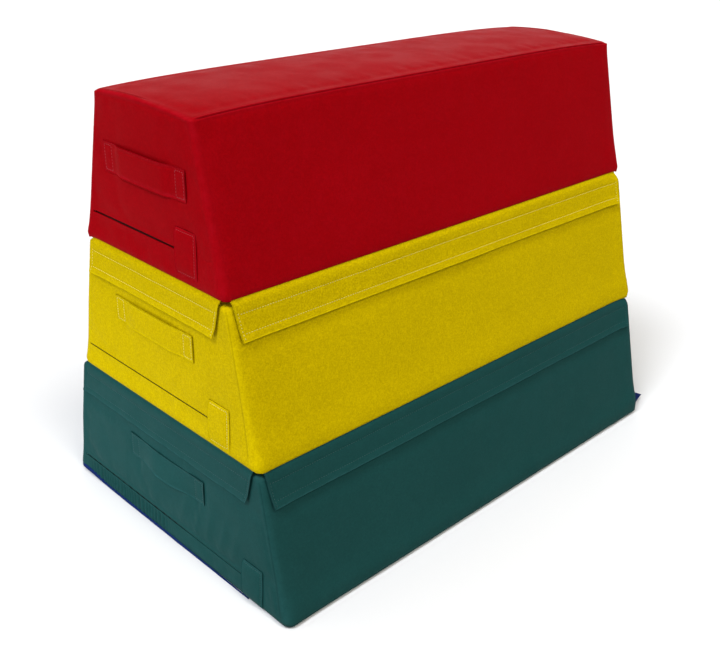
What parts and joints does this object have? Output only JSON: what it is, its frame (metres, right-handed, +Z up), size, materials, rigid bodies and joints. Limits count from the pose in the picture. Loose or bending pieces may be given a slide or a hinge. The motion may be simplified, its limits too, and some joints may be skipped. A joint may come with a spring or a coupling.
{
  "type": "trapezoid gymnastics mat",
  "caption": "Tapering stack of foam tiers in zipped vinyl covers, joined by hook and loop skirt flaps, with a strap handle on each short end of a tier.",
  "frame": {"origin": "centre of the flat face that the mat stands on, at floor level", "axes": "+X along the length, from the short end with the zips to the other short end; +Y across, from the long side in the picture to the hidden one; +Z up"},
  "size_m": [1.3049, 0.759, 0.9457],
  "materials": {
    "green_vinyl": "coated vinyl, satin",
    "yellow_vinyl": "coated vinyl, pebbled",
    "red_vinyl": "coated vinyl, satin",
    "blue_vinyl": "coated vinyl, satin",
    "foam": "open cell foam, matt",
    "zip_tape": "woven polyester tape",
    "zip_metal": "plated",
    "hook_strip": "hook fastener",
    "loop_strip": "loop fastener"
  },
  "bodies": {
    "bottom_tier": {"bottom_cover": "green_vinyl", "bottom_foam_core": "foam", "bottom_zip_upper_tape": "zip_tape", "bottom_zip_lower_tape": "zip_tape", "bottom_zip_garage": "green_vinyl", "bottom_handle_near": "green_vinyl", "bottom_handle_far": "green_vinyl", "bottom_loop_near": "loop_strip", "bottom_loop_far": "loop_strip", "bottom_loop_front": "loop_strip", "bottom_loop_back": "loop_strip"},
    "middle_tier": {"middle_cover": "yellow_vinyl", "middle_foam_core": "foam", "middle_zip_upper_tape": "zip_tape", "middle_zip_lower_tape": "zip_tape", "middle_zip_garage": "yellow_vinyl", "middle_handle_near": "yellow_vinyl", "middle_handle_far": "yellow_vinyl", "middle_loop_near": "loop_strip", "middle_loop_far": "loop_strip", "middle_loop_front": "loop_strip", "middle_loop_back": "loop_strip"},
    "top_tier": {"top_cover": "red_vinyl", "top_foam_core": "foam", "top_zip_upper_tape": "zip_tape", "top_zip_lower_tape": "zip_tape", "top_zip_garage": "red_vinyl", "top_handle_near": "red_vinyl", "top_handle_far": "red_vinyl"},
    "bottom_near_flap": {"bottom_flap_near": "blue_vinyl", "bottom_hook_near": "hook_strip"},
    "bottom_far_flap": {"bottom_flap_far": "blue_vinyl", "bottom_hook_far": "hook_strip"},
    "bottom_front_flap": {"bottom_flap_front": "blue_vinyl", "bottom_hook_front": "hook_strip"},
    "bottom_back_flap": {"bottom_flap_back": "blue_vinyl", "bottom_hook_back": "hook_strip"},
    "middle_near_flap": {"middle_flap_near": "green_vinyl", "middle_hook_near": "hook_strip"},
    "middle_far_flap": {"middle_flap_far": "green_vinyl", "middle_hook_far": "hook_strip"},
    "middle_front_flap": {"middle_flap_front": "green_vinyl", "middle_hook_front": "hook_strip"},
    "middle_back_flap": {"middle_flap_back": "green_vinyl", "middle_hook_back": "hook_strip"},
    "top_near_flap": {"top_flap_near": "yellow_vinyl", "top_hook_near": "hook_strip"},
    "top_far_flap": {"top_flap_far": "yellow_vinyl", "top_hook_far": "hook_strip"},
    "top_front_flap": {"top_flap_front": "yellow_vinyl", "top_hook_front": "hook_strip"},
    "top_back_flap": {"top_flap_back": "yellow_vinyl", "top_hook_back": "hook_strip"},
    "bottom_slider": {"bottom_zip_slider": "zip_metal"},
    "bottom_pull": {"bottom_zip_pull": "zip_metal"},
    "middle_slider": {"middle_zip_slider": "zip_metal"},
    "middle_pull": {"middle_zip_pull": "zip_metal"},
    "top_slider": {"top_zip_slider": "zip_metal"},
    "top_pull": {"top_zip_pull": "zip_metal"}
  },
  "joints": [
    {"name": "middle_tier_lift", "type": "slide", "parent": "bottom_tier", "child": "middle_tier", "axis": [0, 0, 1], "range_m": [0, 0.4]},
    {"name": "top_tier_lift", "type": "slide", "parent": "middle_tier", "child": "top_tier", "axis": [0, 0, 1], "range_m": [0, 0.4]},
    {"name": "bottom_near_flap_hinge", "type": "hinge", "parent": "bottom_tier", "child": "bottom_near_flap", "pos_m": [-0.6046, 0, 0.00155], "axis": [0, 1, 0], "range_deg": [0, 195]},
    {"name": "bottom_far_flap_hinge", "type": "hinge", "parent": "bottom_tier", "child": "bottom_far_flap", "pos_m": [0.6046, 0, 0.00155], "axis": [0, -1, 0], "range_deg": [-180, 15]},
    {"name": "bottom_front_flap_hinge", "type": "hinge", "parent": "bottom_tier", "child": "bottom_front_flap", "pos_m": [0, -0.376, 0.00155], "axis": [-1, 0, 0], "range_deg": [0, 195]},
    {"name": "bottom_back_flap_hinge", "type": "hinge", "parent": "bottom_tier", "child": "bottom_back_flap", "pos_m": [0, 0.376, 0.00155], "axis": [1, 0, 0], "range_deg": [0, 195]},
    {"name": "middle_near_flap_hinge", "type": "hinge", "parent": "middle_tier", "child": "middle_near_flap", "pos_m": [-0.61115, 0, 0.3165], "axis": [0, 1, 0], "range_deg": [0, 160]},
    {"name": "middle_far_flap_hinge", "type": "hinge", "parent": "middle_tier", "child": "middle_far_flap", "pos_m": [0.61115, 0, 0.3165], "axis": [0, -1, 0], "range_deg": [0, 160]},
    {"name": "middle_front_flap_hinge", "type": "hinge", "parent": "middle_tier", "child": "middle_front_flap", "pos_m": [0, -0.30489, 0.31687], "axis": [-1, 0, 0], "range_deg": [0, 160]},
    {"name": "middle_back_flap_hinge", "type": "hinge", "parent": "middle_tier", "child": "middle_back_flap", "pos_m": [0, 0.30489, 0.31687], "axis": [1, 0, 0], "range_deg": [0, 160]},
    {"name": "top_near_flap_hinge", "type": "hinge", "parent": "top_tier", "child": "top_near_flap", "pos_m": [-0.61115, 0, 0.6305], "axis": [0, 1, 0], "range_deg": [0, 160]},
    {"name": "top_far_flap_hinge", "type": "hinge", "parent": "top_tier", "child": "top_far_flap", "pos_m": [0.61115, 0, 0.6305], "axis": [0, -1, 0], "range_deg": [0, 160]},
    {"name": "top_front_flap_hinge", "type": "hinge", "parent": "top_tier", "child": "top_front_flap", "pos_m": [0, -0.22789, 0.63087], "axis": [-1, 0, 0], "range_deg": [0, 160]},
    {"name": "top_back_flap_hinge", "type": "hinge", "parent": "top_tier", "child": "top_back_flap", "pos_m": [0, 0.22789, 0.63087], "axis": [1, 0, 0], "range_deg": [0, 160]},
    {"name": "bottom_zip_slide", "type": "slide", "parent": "bottom_tier", "child": "bottom_slider", "axis": [0, 1, 0], "range_m": [0, 0.606]},
    {"name": "bottom_pull_swing", "type": "hinge", "parent": "bottom_slider", "child": "bottom_pull", "pos_m": [-0.61065, -0.27425, 0.052], "axis": [1, 0, 0], "range_deg": [-60, 45]},
    {"name": "middle_zip_slide", "type": "slide", "parent": "middle_tier", "child": "middle_slider", "axis": [0, 1, 0], "range_m": [0, 0.449]},
    {"name": "middle_pull_swing", "type": "hinge", "parent": "middle_slider", "child": "middle_pull", "pos_m": [-0.61065, -0.19578, 0.372], "axis": [1, 0, 0], "range_deg": [-60, 45]},
    {"name": "top_zip_slide", "type": "slide", "parent": "top_tier", "child": "top_slider", "axis": [0, 1, 0], "range_m": [0, 0.292]},
    {"name": "top_pull_swing", "type": "hinge", "parent": "top_slider", "child": "top_pull", "pos_m": [-0.61065, -0.11731, 0.692], "axis": [1, 0, 0], "range_deg": [-60, 45]}
  ]
}
